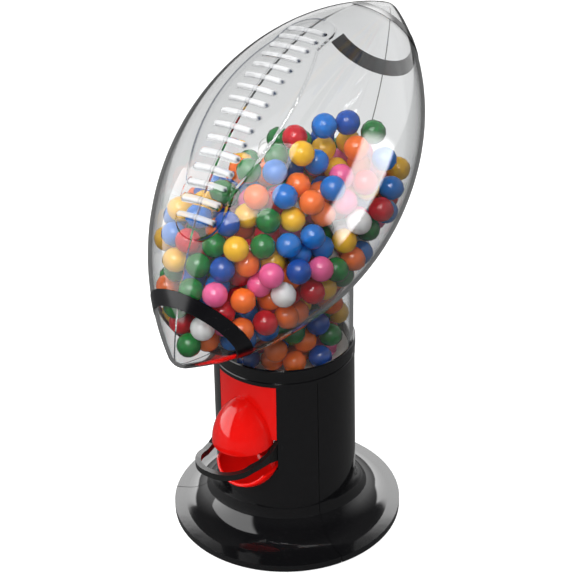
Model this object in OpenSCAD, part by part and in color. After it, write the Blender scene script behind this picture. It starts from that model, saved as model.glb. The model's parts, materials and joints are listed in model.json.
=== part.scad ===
// Table-top gumball machine with a clear football-shaped globe leaning over a round black stand.
// Millimetres. X to the right, the front looks along -Y, Z up, origin at the middle of the underside.

/* [Globe] */
// Half the length of the football-shaped globe
globe_half_length = 125.7; // [118:0.1:132]
// Widest radius of the globe
globe_radius = 65.2; // [60:0.1:70]
// Radius of the two rounded tips
globe_tip_radius = 9.6; // [8:0.1:12]
// Wall of the clear shell
globe_wall = 2; // [1.6:0.1:2.4]
// Rise of the long axis above the horizontal, in degrees
globe_lean = 32.7; // [29:0.1:36]
// Height of the globe's middle above the floor
globe_height = 216; // [210:0.5:222]
// Distance of the globe's middle behind the column's axis
globe_setback = 9; // [5:0.5:13]
// Outer radius of the clear neck
neck_radius = 40.4; // [36:0.1:40.6]

/* [Laces and stripes] */
// Half width of the raised lace patch
patch_half_width = 24; // [20:0.5:26]
// Half length of the raised lace patch
patch_half_length = 74; // [66:0.5:80]
// Step of the lace patch above the shell
patch_step = 0.9; // [0.6:0.1:1.4]
// Number of lace bars
lace_count = 16; // [10:1:18]
// Distance from one lace bar to the next
lace_pitch = 8.2; // [6.5:0.1:8.4]
// Half length of a lace bar
lace_half_length = 12.2; // [9:0.1:14]
// Distance of the stripes from the globe's middle
stripe_place = 98.4; // [90:0.1:104]
// Width of a stripe along the globe
stripe_width = 7.6; // [5:0.1:9]
// Thickness of a stripe
stripe_skin = 0.4; // [0.3:0.05:0.6]

/* [Stand] */
// Column radius at its top
column_radius = 41.2; // [40.8:0.1:44]
// Extra radius at the column's foot
column_draft = 0.9; // [0.4:0.1:1.6]
// Radius of the round foot
foot_radius = 69.2; // [64:0.1:76]
// Height of the foot's upright rim
rim_height = 5; // [4:0.1:7]
// Radius of the sweep from the column into the foot
flare_radius = 20; // [16:0.5:24]
// Height where the two shells end
shell_top = 108.3; // [107:0.1:109]
// Wall of the moulded shells
shell_wall = 2.4; // [2:0.1:3]
// Angle from the front to the seam between the shells, in degrees
seam_angle = 62; // [55:1:75]
// Half width of the red panel
panel_half_width = 19.7; // [19.4:0.1:20.5]

/* [Hood and scoop] */
// Height of the scoop's middle
scoop_height = 58.3; // [58:0.1:58.8]
// Distance of the scoop's middle in front of the column's axis
scoop_forward = 39.5; // [39.2:0.1:40]
// Tilt of the scoop's mouth upwards, in degrees
scoop_tilt = 43; // [40:1:46]
// Wall of the red mouldings
red_wall = 1.8; // [1.5:0.1:2.2]
// Height of the hood's lower edge
hood_foot = 70.4; // [70.2:0.1:71]
// Height of the hood's top
hood_top = 98; // [95:0.5:102]
// Radius of the hood at its lower edge
hood_radius = 17.8; // [17:0.1:17.9]

/* [Lever] */
// Distance of the loop's front from the column's axis
lever_reach = 75.3; // [72:0.1:78]
// Outer half width of the loop
lever_half_width = 17.6; // [17:0.1:18]
// Height of the lever's hinge
hinge_height = 66; // [65:0.1:67]
// Distance of the hinge in front of the column's axis
hinge_forward = 27; // [26.5:0.1:28]
// Radius of the hinge pins
pin_radius = 1.5; // [1.2:0.1:1.8]

/* [Dispensing drum] */
// Radius of the drum
drum_radius = 16.2; // [16:0.1:16.4]
// Radius of the drum's axle
axle_radius = 1.8; // [1.5:0.1:2]
// Centre distance between the quadrant and the pinion
gear_distance = 32; // [31.6:0.1:32.4]
// Direction from the hinge to the drum axle, in degrees above the horizontal
gear_direction = 38.7; // [37:0.1:40]
// Teeth on the pinion
pinion_teeth = 10; // [10:1:10]
// Running clearance on pins and axles
running_clearance = 0.06; // [0.04:0.01:0.1]

/* [Gumballs] */
// Diameter of a gumball
gumball_diameter = 13.4; // [12.8:0.1:13.5]
// Highest point of the heap
heap_peak = 264; // [240:1:268]

/* [Hidden] */
$fn = 96;
round_fn = 180;
eps = 0.01;
far = 400;

clear_plastic = [0.85, 0.9, 0.95, 0.35];
black_plastic = [0.06, 0.06, 0.06];
red_plastic = [0.85, 0.08, 0.05];
white_plastic = [0.9, 0.9, 0.88];
steel = [0.7, 0.7, 0.72];
rubber_grey = [0.2, 0.2, 0.2];

// --- stand -------------------------------------------------------------------------------------
pad_thickness = 0.8;
column_foot_radius = column_radius + column_draft;
flare_top = rim_height + flare_radius;
flange_inner = column_foot_radius + flare_radius;
panel_gap = 0.15;
seat_gap = 0.3;

// --- rings under the globe ---------------------------------------------------------------------
ring_lip = 2.6;
clamp_top = shell_top + ring_lip;
collar_seat = clamp_top + 2.1;
collar_top = collar_seat + 6.4;
neck_fit = 0.12;
collar_radius = column_radius + 0.4;
neck_bore = neck_radius - globe_wall;
spigot_radius = neck_bore + 1;
floor_radius = neck_bore - 0.4;

// --- globe -------------------------------------------------------------------------------------
big_radius = (pow(globe_half_length - globe_tip_radius, 2) - pow(globe_tip_radius, 2)
  + pow(globe_radius, 2)) / (2 * (globe_radius - globe_tip_radius));
big_offset = big_radius - globe_radius;
tip_centre = globe_half_length - globe_tip_radius;
tip_angle = atan2(tip_centre, big_offset);
patch_centre = -2;
patch_end_radius = 15;
stripe_start = -3;
stripe_turn = 258;

// --- hood, scoop and lever ---------------------------------------------------------------------
scoop_radius = panel_half_width - panel_gap;
hood_axis = 42.5;
hood_tip_radius = 10;
arm_inner = 17.2;
arm_thickness = 2.6;
arm_outer = arm_inner + arm_thickness;
arm_foot = 59;
arm_head = 72.5;
arm_slot_gap = 0.35;
arm_slot_front = 38.5;
bend_start = 44;
bend_end = 58;
loop_foot = 63.4;
loop_head = 67.2;
loop_width = 3.2;
loop_corner = 16;
lever_range = 22;
hinge_boss_radius = 4.2;
press_drop = (column_foot_radius - hinge_forward) * sin(lever_range);

// --- mechanism ---------------------------------------------------------------------------------
gear_ratio = 5;
quadrant_teeth = pinion_teeth * gear_ratio;
gear_module = 2 * gear_distance / (pinion_teeth + quadrant_teeth);
gear_thickness = 2.6;
gear_backlash = 0.26;
drum_forward = hinge_forward - gear_distance * cos(gear_direction);
drum_height = hinge_height + gear_distance * sin(gear_direction);
drum_half_width = 13.2;
pocket_radius = gumball_diameter / 2 + 0.8;
plate_inner = 13.7;
plate_thickness = 2.5;
plate_outer = plate_inner + plate_thickness;
gear_plane = arm_outer + gear_thickness;
drum_clearance = 0.4;
floor_height = 106;
throat_radius = gumball_diameter / 2 + 1.3;
spring_wire = 0.9;
spring_coils = 3;
spring_radius = 2.9;
spring_sides = 8;
spring_steps = 16;
spring_pitch = spring_wire * 1.06;
spring_first = -arm_outer - 0.35 - spring_wire / 2;
spring_last = spring_first - spring_coils * spring_pitch;
spring_end = -spring_last + spring_wire / 2 + 0.15;
spring_hook = 4.8;
spring_drop = 6.2;
spring_anchor = 9;
ramp_half_width = 8.6;
gumball_gap = 0.12;

// ================================================================================================
// Shared outlines and helpers
// ================================================================================================

// Turns a local frame whose Z is the globe's long axis and whose -Y is the lace side.
module on_globe() {
  translate([0, globe_setback, globe_height]) rotate([globe_lean - 90, 0, 0]) children();
}

// Turns the plane of a sideways shape: X of the outline runs to the front, Y runs up.
module side_slab(from_x, thickness) {
  translate([from_x, 0, 0]) rotate([90, 0, -90]) translate([0, 0, -thickness])
    linear_extrude(height = thickness) children();
}

// Half outline of the football, moved inwards by inset, with its long axis on Y.
module spindle_profile(inset) {
  joint = tip_centre + (globe_tip_radius - inset) * sin(tip_angle);
  intersection() {
    translate([0, -far]) square([far, 2 * far]);
    union() {
      intersection() {
        translate([-big_offset, 0]) circle(r = big_radius - inset, $fn = round_fn * 2);
        translate([0, -joint]) square([globe_radius * 2, 2 * joint]);
      }
      for (end = [-1, 1])
        intersection() {
          translate([0, end * tip_centre]) circle(r = globe_tip_radius - inset);
          translate([0, end > 0 ? joint : -joint - far]) square([far, far]);
        }
    }
  }
}

module spindle(inset) {
  rotate_extrude($fn = round_fn) spindle_profile(inset);
}

// Outline of the stand, moved inwards by inset, with its axis on Y.
module stand_profile(inset) {
  polygon([
    [0, 0], [column_foot_radius - inset, 0], [column_foot_radius - inset, flare_top],
    [column_radius - inset, shell_top], [0, shell_top]
  ]);
  difference() {
    square([foot_radius - inset, flare_top]);
    translate([flange_inner, flare_top]) circle(r = flare_radius + inset);
    translate([flange_inner, rim_height - inset]) square([foot_radius, far]);
  }
}

// Wedge of the stand between two angles, measured from the front to the right.
module stand_shell(from_angle, to_angle) {
  rotate([0, 0, 270 + from_angle])
    rotate_extrude(angle = to_angle - from_angle, $fn = round_fn)
      difference() {
        stand_profile(0);
        stand_profile(shell_wall);
        square([foot_radius * 2, pad_thickness]);
      }
}

// Front outline of the red panel, straight at the top and round at the bottom.
module panel_outline(half_width) {
  translate([0, scoop_height]) circle(r = half_width);
  translate([-half_width, scoop_height]) square([half_width * 2, shell_top + 1 - scoop_height]);
}

module front_prism(depth) {
  rotate([90, 0, 0]) linear_extrude(height = depth) children();
}

module ring(outer, inner, from_z, to_z) {
  translate([0, 0, from_z])
    difference() {
      cylinder(r = outer, h = to_z - from_z, $fn = round_fn);
      translate([0, 0, -1]) cylinder(r = inner, h = to_z - from_z + 2, $fn = round_fn);
    }
}

module pin_between(radius, from_x, to_x) {
  translate([from_x, 0, 0]) rotate([0, 90, 0]) cylinder(r = radius, h = to_x - from_x);
}

module at_hinge() {
  translate([0, -hinge_forward, hinge_height]) children();
}

module at_drum() {
  translate([0, -drum_forward, drum_height]) children();
}

// ================================================================================================
// Globe
// ================================================================================================

module lace_patch_outline() {
  lens_radius = (pow(patch_half_length, 2) + pow(patch_half_width, 2)) / (2 * patch_half_width);
  end_place = patch_half_length - patch_end_radius;
  translate([0, patch_centre])
    intersection() {
      union() {
        intersection() {
          translate([lens_radius - patch_half_width, 0]) circle(r = lens_radius, $fn = round_fn);
          translate([patch_half_width - lens_radius, 0]) circle(r = lens_radius, $fn = round_fn);
          square([far, 2 * end_place], center = true);
        }
        for (end = [-1, 1]) translate([0, end * end_place]) circle(r = patch_end_radius);
      }
      square([2 * patch_half_width, 2 * patch_half_length], center = true);
    }
}

module lace_bar() {
  bar_half_height = 1.5;
  square([2 * (lace_half_length - bar_half_height), 2 * bar_half_height], center = true);
  for (end = [-1, 1])
    translate([end * (lace_half_length - bar_half_height), 0]) circle(r = bar_half_height);
}

module lace_relief() {
  bar_step = 0.8;
  intersection() {
    spindle(-patch_step);
    front_prism(far) lace_patch_outline();
  }
  intersection() {
    spindle(-patch_step - bar_step);
    front_prism(far)
      for (i = [0:lace_count - 1])
        translate([0, patch_centre - 2 + (i - (lace_count - 1) / 2) * lace_pitch]) lace_bar();
  }
}

module globe_half(side) {
  intersection() {
    difference() {
      union() {
        on_globe() {
          spindle(0);
          lace_relief();
        }
        translate([0, 0, collar_seat]) cylinder(r = neck_radius, h = 70, $fn = round_fn);
      }
      on_globe() spindle(globe_wall);
      translate([0, 0, collar_seat - 1]) cylinder(r = neck_bore, h = 72, $fn = round_fn);
    }
    translate([side > 0 ? 0 : -far, -far / 2, 0]) cube([far, far, far]);
  }
}

module globe_left() {
  color(clear_plastic) globe_half(-1);
}

module globe_right() {
  color(clear_plastic) globe_half(1);
}

// Band round the globe; its turn is measured about the long axis, from the lace side.
module stripe(from_along, from_turn, turn) {
  on_globe()
    rotate([0, 0, from_turn - 90])
      rotate_extrude(angle = turn, $fn = round_fn)
        intersection() {
          difference() {
            spindle_profile(-stripe_skin);
            spindle_profile(0);
          }
          translate([0, from_along]) square([globe_radius, stripe_width]);
        }
}

module upper_stripe() {
  color(black_plastic) stripe(stripe_place, stripe_start, stripe_turn);
}

module lower_stripe() {
  color(black_plastic) stripe(-stripe_place - stripe_width, 0, 360);
}

// ================================================================================================
// Rings and stand
// ================================================================================================

module collar_ring() {
  edge = 0.5;
  color(black_plastic)
    rotate_extrude($fn = round_fn)
      polygon([
        [spigot_radius - 0.8, clamp_top], [collar_radius - 0.8, clamp_top],
        [collar_radius - 0.8, collar_seat], [collar_radius, collar_seat + edge],
        [collar_radius, collar_top - edge], [collar_radius - edge, collar_top],
        [neck_radius + neck_fit, collar_top], [neck_radius + neck_fit, collar_seat],
        [spigot_radius - 0.8, collar_seat]
      ]);
}

module clamp_ring() {
  edge = 0.4;
  color(black_plastic)
    rotate_extrude($fn = round_fn)
      polygon([
        [spigot_radius, shell_top], [collar_radius - 0.2, shell_top],
        [collar_radius - 0.2, clamp_top - edge], [collar_radius - 0.2 - edge, clamp_top],
        [spigot_radius, clamp_top]
      ]);
}

seam_half_gap = 0.2;
ledge_height = 102.5;
ledge_thickness = 2;
ledge_reach = 1.2;
screw_ring = 50;
screw_angles = [-35, 35, 118, 242];
foot_boss_radius = 4;
screw_radius = 1.4;
screw_head_radius = 2.8;
plate_top = rim_height - shell_wall;

// Bosses under the flare that take the base screws, and the ledge that carries the hopper floor.
module shell_inside(from_angle, to_angle) {
  intersection() {
    rotate([0, 0, 270 + from_angle])
      rotate_extrude(angle = to_angle - from_angle, $fn = round_fn) stand_profile(shell_wall / 2);
    union() {
      ring(column_radius, floor_radius - ledge_reach, ledge_height - ledge_thickness,
        ledge_height);
      for (a = screw_angles)
        if (a > from_angle && a < to_angle)
          rotate([0, 0, 270 + a]) translate([screw_ring, 0, plate_top])
            cylinder(r = foot_boss_radius, h = flare_top);
    }
  }
}

module screw_holes() {
  for (a = screw_angles)
    rotate([0, 0, 270 + a]) translate([screw_ring, 0, 0])
      cylinder(r = screw_radius, h = plate_top + 4);
}

// Slots for the lever's arms, long enough for the whole press.
module arm_slots(front, spare) {
  slot_end = 0.6;
  slot_foot = arm_foot - press_drop - slot_end;
  slot_rear = hinge_forward + 2;
  for (side = [0, 1])
    mirror([side, 0, 0])
      translate([arm_inner - arm_slot_gap - spare, -front, slot_foot])
        cube([arm_thickness + 2 * arm_slot_gap + spare, front - slot_rear,
          arm_head + slot_end - slot_foot]);
}

module front_shell() {
  color(black_plastic)
    difference() {
      union() {
        stand_shell(-seam_angle + seam_half_gap, seam_angle - seam_half_gap);
        shell_inside(-seam_angle + seam_half_gap, seam_angle - seam_half_gap);
      }
      front_prism(far) panel_outline(panel_half_width);
      arm_slots(lever_reach, 0);
      screw_holes();
    }
}

module rear_shell() {
  color(black_plastic)
    difference() {
      union() {
        stand_shell(seam_angle + seam_half_gap, 360 - seam_angle - seam_half_gap);
        shell_inside(seam_angle + seam_half_gap, 360 - seam_angle - seam_half_gap);
      }
      screw_holes();
    }
}

// ================================================================================================
// Red panel, hood and scoop
// ================================================================================================

module hood_profile(inset) {
  tip_step = 0.06;
  height = hood_top - hood_foot;
  big = (pow(height - hood_tip_radius, 2) - pow(hood_tip_radius, 2) + pow(hood_radius, 2))
    / (2 * (hood_radius - hood_tip_radius));
  bend = big - hood_radius;
  tip = height - hood_tip_radius;
  joint = tip + (hood_tip_radius - inset) * sin(atan2(tip, bend));
  translate([0, hood_foot])
    union() {
      intersection() {
        translate([-bend, 0]) circle(r = big - inset, $fn = round_fn);
        translate([0, -far]) square([hood_radius * 2, far + joint]);
      }
      intersection() {
        translate([0, tip - tip_step]) circle(r = hood_tip_radius - inset);
        translate([0, joint]) square([far, far]);
      }
    }
}

module hood_solid(inset, foot) {
  translate([0, -hood_axis, 0]) rotate([0, 0, 90])
    rotate_extrude($fn = round_fn)
      intersection() {
        hood_profile(inset);
        translate([0, foot]) square([hood_radius * 2, hood_top]);
      }
}

panel_recess = 0.2;

module front_panel() {
  color(red_plastic)
    difference() {
      union() {
        difference() {
          intersection() {
            rotate_extrude($fn = round_fn)
              difference() {
                stand_profile(panel_recess);
                stand_profile(panel_recess + red_wall);
              }
            front_prism(far)
              translate([-scoop_radius, hood_foot])
                square([2 * scoop_radius, shell_top - hood_foot]);
          }
          arm_slots(arm_slot_front, 0);
        }
        difference() {
          hood_solid(0, hood_foot);
          cylinder(r = column_radius - panel_recess - red_wall, h = far, $fn = round_fn);
        }
      }
      hood_solid(red_wall, 0);
    }
}

mouth_foot = 48.2;
mouth_head = 64;
mouth_half_width = 8.2;
lip_radius = 1.1;

// Bowl whose round mouth looks up and forwards, open at the back where the ramp ends.
module chute_scoop() {
  plate_room = 0.5;
  plate_room_front = 34.6;
  plate_room_foot = 56;
  arm_room = 1.5;
  bowl_fn = 84;
  color(red_plastic)
    difference() {
      translate([0, -scoop_forward, scoop_height]) {
        difference() {
          sphere(r = scoop_radius, $fn = bowl_fn);
          sphere(r = scoop_radius - red_wall, $fn = bowl_fn);
          rotate([-scoop_tilt, 0, 0]) translate([-far / 2, -far, -far / 2]) cube([far, far, far]);
        }
        rotate([90 - scoop_tilt, 0, 0])
          rotate_extrude($fn = bowl_fn) translate([scoop_radius - lip_radius, 0])
            circle(r = lip_radius, $fn = 24);
      }
      translate([-mouth_half_width, -scoop_forward + 2, mouth_foot])
        cube([2 * mouth_half_width, far, mouth_head - mouth_foot]);
      arm_slots(lever_reach, arm_room);
      for (side = [0, 1])
        mirror([side, 0, 0])
          translate([plate_inner - plate_room, -plate_room_front, plate_room_foot])
            cube([far, far, far]);
      translate([-far / 2, -far / 2, hood_foot - seat_gap]) cube([far, far, far]);
    }
}

// ================================================================================================
// Lever and its gear
// ================================================================================================

// Plan of the loop: X is the side, Y runs to the front.
module loop_plan(inset) {
  half = lever_half_width - loop_corner;
  front = lever_reach - loop_corner;
  for (side = [-1, 1]) translate([side * half, front]) circle(r = loop_corner - inset);
  translate([-lever_half_width + inset, 0]) square([2 * (lever_half_width - inset), front]);
  translate([-half, 0]) square([2 * half, lever_reach - inset]);
}

module lever_plan() {
  heel = hinge_forward - hinge_boss_radius;
  difference() {
    union() {
      difference() {
        loop_plan(0);
        translate([-far / 2, 0]) square([far, bend_end - 1]);
      }
      polygon([
        [arm_inner, heel], [arm_outer, heel], [arm_outer, bend_start],
        [lever_half_width, bend_end], [-lever_half_width, bend_end], [-arm_outer, bend_start],
        [-arm_outer, heel], [-arm_inner, heel], [-arm_inner, bend_start],
        [loop_width - lever_half_width, bend_end - 1], [lever_half_width - loop_width, bend_end - 1],
        [arm_inner, bend_start]
      ]);
    }
    loop_plan(loop_width);
  }
}

// Side view of the lever: X runs to the front, Y runs up.
module lever_side() {
  polygon([
    [hinge_forward, hinge_height - hinge_boss_radius], [36.5, arm_foot], [bend_start, arm_foot + 2.6],
    [50, loop_foot - 1.8], [bend_end, loop_foot - 1.2], [66, loop_foot - 0.4],
    [lever_reach + 1, loop_foot], [lever_reach + 1, loop_head], [67, loop_head - 0.3],
    [bend_end, loop_head - 1.2], [51, loop_head - 1.4], [bend_start, loop_head + 0.2],
    [40, loop_head + 1.4], [36.6, hood_foot - 0.4], [34, arm_head],
    [hinge_forward, hinge_height + hinge_boss_radius]
  ]);
  translate([hinge_forward, hinge_height]) circle(r = hinge_boss_radius);
}

module lever_loop() {
  color(black_plastic)
    difference() {
      intersection() {
        mirror([0, 1, 0]) linear_extrude(height = far) lever_plan();
        side_slab(-far / 2, far) lever_side();
      }
      at_hinge() pin_between(pin_radius + running_clearance, -far / 2, far / 2);
    }
}

// Points of one gear tooth, centred on angle mid, on a gear of the given pitch radius.
function gear_tooth(pitch, mid) =
  let (
    tip = pitch + 0.8 * gear_module,
    root = pitch - 1.15 * gear_module,
    half = (PI * gear_module / 2 - gear_backlash) / 2,
    slope = tan(22)
  )
  [for (p = [[root, -1], [tip, -1], [tip, 1], [root, 1]])
    let (
      spread = half - (p[0] - pitch) * slope,
      turn = mid + p[1] * spread / p[0] * 180 / PI
    )
    [p[0] * cos(turn), p[0] * sin(turn)]];

quadrant_pitch = gear_module * quadrant_teeth / 2;
pinion_pitch = gear_module * pinion_teeth / 2;
mesh_angle = 180 - gear_direction;

module quadrant_outline() {
  step = 360 / quadrant_teeth;
  last = ceil(lever_range / step) + 1;
  hub = hinge_boss_radius;
  polygon(concat(
    [[0, -hub * 0.6], [0, hub * 0.6]],
    [for (i = [-1:last], p = gear_tooth(quadrant_pitch, mesh_angle + i * step)) p]
  ));
  circle(r = hub);
}

module quadrant_gear() {
  color(white_plastic)
    difference() {
      side_slab(arm_outer, gear_thickness)
        translate([hinge_forward, hinge_height]) quadrant_outline();
      at_hinge() pin_between(pin_radius + running_clearance, -far / 2, far / 2);
    }
}

pin_head_radius = 2.2;
pin_head = 0.8;

module hinge_pins() {
  color(steel)
    for (side = [-1, 1])
      mirror([side > 0 ? 0 : 1, 0, 0])
        at_hinge() {
          shank_end = side > 0 ? gear_plane + 0.3 : spring_end;
          pin_between(pin_radius, plate_inner, shank_end + eps);
          pin_between(pin_head_radius, shank_end, shank_end + pin_head);
        }
}

// Middle line of the spring: a leg hooked under the arm, the coils, and a leg into the frame plate.
function spring_path() = concat(
  [[spring_first + 2.2, -spring_hook, -spring_drop], [spring_first + 0.9, -spring_hook, -spring_drop],
    [spring_first + 0.25, -spring_hook + 0.25, -spring_drop + 0.2],
    [spring_first, -spring_hook + 0.9, -spring_drop + 0.7]],
  [for (i = [0:spring_coils * spring_steps])
    let (a = -90 + i * 360 / spring_steps)
    [spring_first - i / spring_steps * spring_pitch, spring_radius * cos(a), spring_radius * sin(a)]],
  [[spring_last, spring_anchor - 0.9, -spring_radius],
    [spring_last + 0.25, spring_anchor - 0.25, -spring_radius],
    [spring_last + 0.9, spring_anchor, -spring_radius],
    [-plate_inner - 0.3, spring_anchor, -spring_radius]]
);

function unit(v) = v / norm(v);

// Tube of the given radius along a path, as one closed polyhedron.
module tube_along(path, radius) {
  count = len(path);
  points = [
    for (i = [0:count - 1])
      let (
        ahead = unit(path[min(i + 1, count - 1)] - path[max(i - 1, 0)]),
        side = unit(cross(ahead, [0.31, 0.17, 1])),
        up = cross(side, ahead)
      )
      for (k = [0:spring_sides - 1])
        path[i] + radius * (side * cos(k * 360 / spring_sides) + up * sin(k * 360 / spring_sides))
  ];
  polyhedron(points, concat(
    [[for (k = [0:spring_sides - 1]) k]],
    [for (i = [0:count - 2], k = [0:spring_sides - 1])
      let (n = (k + 1) % spring_sides)
      [i * spring_sides + n, i * spring_sides + k, (i + 1) * spring_sides + k, (i + 1) * spring_sides + n]],
    [[for (k = [spring_sides - 1:-1:0]) (count - 1) * spring_sides + k]]
  ));
}

module return_spring() {
  color(steel) at_hinge() tube_along(spring_path(), spring_wire / 2);
}

// ================================================================================================
// Portion drum
// ================================================================================================

module portion_drum() {
  pocket_floor = drum_radius - gumball_diameter - 0.4;
  recess_depth = 1.2;
  color(white_plastic)
    at_drum()
      difference() {
        pin_between(drum_radius, -drum_half_width, drum_half_width);
        pin_between(axle_radius, -far / 2, far / 2);
        translate([0, 0, pocket_floor]) cylinder(r = pocket_radius, h = drum_radius);
        for (side = [-1, 1])
          mirror([side > 0 ? 0 : 1, 0, 0])
            difference() {
              pin_between(drum_radius - 2, drum_half_width - recess_depth, drum_half_width + 1);
              pin_between(axle_radius + 2.5, 0, drum_half_width + 2);
            }
      }
}

pinion_from = plate_outer + 0.4;

module drum_pinion() {
  step = 360 / pinion_teeth;
  hub_radius = 3.4;
  color(white_plastic)
    difference() {
      union() {
        side_slab(arm_outer + 0.1, gear_thickness - 0.2)
          translate([drum_forward, drum_height])
            polygon([for (i = [0:pinion_teeth - 1],
              p = gear_tooth(pinion_pitch, mesh_angle + 180 + (i + 0.5) * step)) p]);
        at_drum() pin_between(hub_radius, pinion_from, arm_outer + 0.1 + eps);
      }
      at_drum() pin_between(axle_radius, -far / 2, far / 2);
    }
}

module drum_axle() {
  head_radius = 3;
  head = 1;
  color(steel)
    at_drum() {
      pin_between(axle_radius, -plate_outer - 0.3 - eps, gear_plane + 0.6);
      pin_between(head_radius, -plate_outer - 0.3 - head, -plate_outer - 0.3);
    }
}

// ================================================================================================
// Hopper floor, frame and ramp
// ================================================================================================

floor_lip = 112.6;
rib_thickness = 2.8;
rib_foot = 93.5;
frame_screw_places = [[-11, 97.5], [9.5, 97.5]];
frame_screw_radius = 1.2;

module hopper_floor() {
  cone_top = floor_radius - 1.4;
  cone_foot = 9.8;
  skin = 2;
  block_half = 12.8;
  block_reach = 10.5;
  color(white_plastic)
    difference() {
      union() {
        rotate_extrude($fn = round_fn)
          polygon([
            [0, floor_height - skin - 0.6], [cone_foot, floor_height - skin - 0.6],
            [cone_top - 1, floor_lip - skin - 1.4], [cone_top - 1, ledge_height],
            [floor_radius, ledge_height], [floor_radius, floor_lip], [cone_top, floor_lip],
            [cone_foot, floor_height], [0, floor_height]
          ]);
        translate([-block_half, -drum_forward - block_reach, drum_height + 10])
          cube([2 * block_half, 2 * block_reach, floor_height - 1 - drum_height - 10]);
        for (side = [-1, 1])
          translate([side > 0 ? plate_outer : -plate_outer - rib_thickness, -14, rib_foot])
            cube([rib_thickness, 28, floor_height - 0.6 - rib_foot]);
      }
      translate([0, -drum_forward, 0]) cylinder(r = throat_radius, h = far);
      at_drum() pin_between(drum_radius + drum_clearance, -far / 2, far / 2);
      frame_screw_holes(frame_screw_radius);
    }
}

module frame_screw_holes(radius) {
  for (side = [-1, 1], place = frame_screw_places)
    mirror([side > 0 ? 0 : 1, 0, 0]) translate([0, place[0], place[1]])
      pin_between(radius, plate_inner, plate_outer + rib_thickness + 1);
}

// Side view of a frame plate: X runs to the front, Y runs up.
module plate_outline() {
  plate_head = 101.5;
  plate_foot = 47;
  rear = -27;
  polygon([
    [13, plate_head], [-13, plate_head], [rear, 84], [rear, plate_foot],
    [19, plate_foot], [22.5, 58], [30.6, hinge_height - 3], [30.6, hinge_height + 3],
    [23, 78], [19, 88]
  ]);
  translate([hinge_forward, hinge_height]) circle(r = 4.6);
}

module frame_plate() {
  difference() {
    side_slab(plate_inner, plate_thickness) plate_outline();
    at_hinge() pin_between(pin_radius, -far / 2, far / 2);
    at_drum() pin_between(axle_radius + running_clearance, -far / 2, far / 2);
    frame_screw_holes(frame_screw_radius);
  }
}

module left_frame_plate() {
  color(steel)
    difference() {
      mirror([1, 0, 0]) frame_plate();
      at_hinge() translate([0, spring_anchor, -spring_radius])
        pin_between(spring_wire / 2 + 0.1, -far / 2, 0);
    }
}

module right_frame_plate() {
  color(steel) frame_plate();
}

module frame_screws() {
  head_radius = 2.3;
  head = 1.4;
  color(steel)
    for (side = [-1, 1], place = frame_screw_places)
      mirror([side > 0 ? 0 : 1, 0, 0]) translate([0, place[0], place[1]]) {
        pin_between(frame_screw_radius, plate_inner + 0.2, plate_outer + rib_thickness + eps);
        pin_between(head_radius, plate_outer + rib_thickness, plate_outer + rib_thickness + head);
      }
}

// Side view of the ramp's floor: X runs to the front, Y runs up.
module chute_ramp() {
  front = 21.8;
  rear = -27;
  fall = 11;
  skin = 1.8;
  low = mouth_foot;
  side_height = 7;
  color(red_plastic) {
    side_slab(-plate_inner, 2 * plate_inner)
      polygon([[front - 6, low - skin + 1.3], [front - 6, low + 1.3], [rear, low + fall],
        [rear, low + fall - skin]]);
    side_slab(-ramp_half_width - skin, 2 * (ramp_half_width + skin))
      polygon([[front, low - skin], [front, low], [rear, low + fall], [rear, low + fall - skin]]);
    for (side = [-1, 1])
      side_slab(side > 0 ? ramp_half_width : -ramp_half_width - skin, skin)
        polygon([[front, low - skin], [front - 1, low + side_height],
          [rear, low + fall + side_height], [rear, low + fall - skin]]);
    side_slab(-plate_inner, 2 * plate_inner)
      polygon([[rear, low + fall - skin], [rear + skin, low + fall - skin], [rear + skin, 80],
        [rear, 80]]);
  }
}

// ================================================================================================
// Underside
// ================================================================================================

pad_radius = 44;

module bottom_plate() {
  color(black_plastic)
    difference() {
      translate([0, 0, pad_thickness])
        cylinder(r = foot_radius - shell_wall - 0.25, h = plate_top - pad_thickness, $fn = round_fn);
      screw_holes();
    }
}

module non_slip_pad() {
  color(rubber_grey) cylinder(r = pad_radius, h = pad_thickness, $fn = round_fn);
}

module base_screws() {
  head = 0.7;
  color(steel)
    for (a = screw_angles)
      rotate([0, 0, 270 + a]) translate([screw_ring, 0, pad_thickness - head]) {
        cylinder(r = screw_head_radius, h = head);
        cylinder(r = screw_radius, h = plate_top + 3.5);
      }
}

// ================================================================================================
// Gumballs, close-packed below the top of the heap
// ================================================================================================

heap_slope = 0.4;
heap_centre = [40, 0];
ball_reach = globe_wall + gumball_diameter / 2 + gumball_gap;

// Position in the globe's own frame: distance along the axis and distance from it.
function along(p) =
  (p[1] - globe_setback) * cos(globe_lean) + (p[2] - globe_height) * sin(globe_lean);
function across(p) =
  norm([p[0], (p[2] - globe_height) * cos(globe_lean) - (p[1] - globe_setback) * sin(globe_lean)]);

core_depth = 1.15 * gumball_diameter;

// Depth of a ball's middle behind the nearest place that the shell allows it.
function globe_depth(p) =
  abs(along(p)) > tip_centre ? -1
  : sqrt(pow(big_radius - ball_reach, 2) - pow(along(p), 2)) - big_offset - across(p);

function in_neck(p) =
  norm([p[0], p[1]]) < neck_radius - ball_reach && p[2] < globe_height
  && p[2] > floor_height + gumball_diameter / 2 + 1.2
    + max(0, norm([p[0], p[1]]) - 9.8) * 0.24;

function heap_depth(p) =
  heap_peak - gumball_diameter / 2
  - heap_slope * norm([p[0] - heap_centre[0], p[1] - heap_centre[1]]) - p[2];

// The middle of the heap, which nothing shows, stays empty.
function in_core(p) =
  heap_depth(p) > core_depth && (
    neck_radius - ball_reach - norm([p[0], p[1]]) > core_depth && p[2] > floor_height + 2 * core_depth
      && globe_depth(p) > core_depth / 2
    || globe_depth(p) > core_depth
  );

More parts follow.
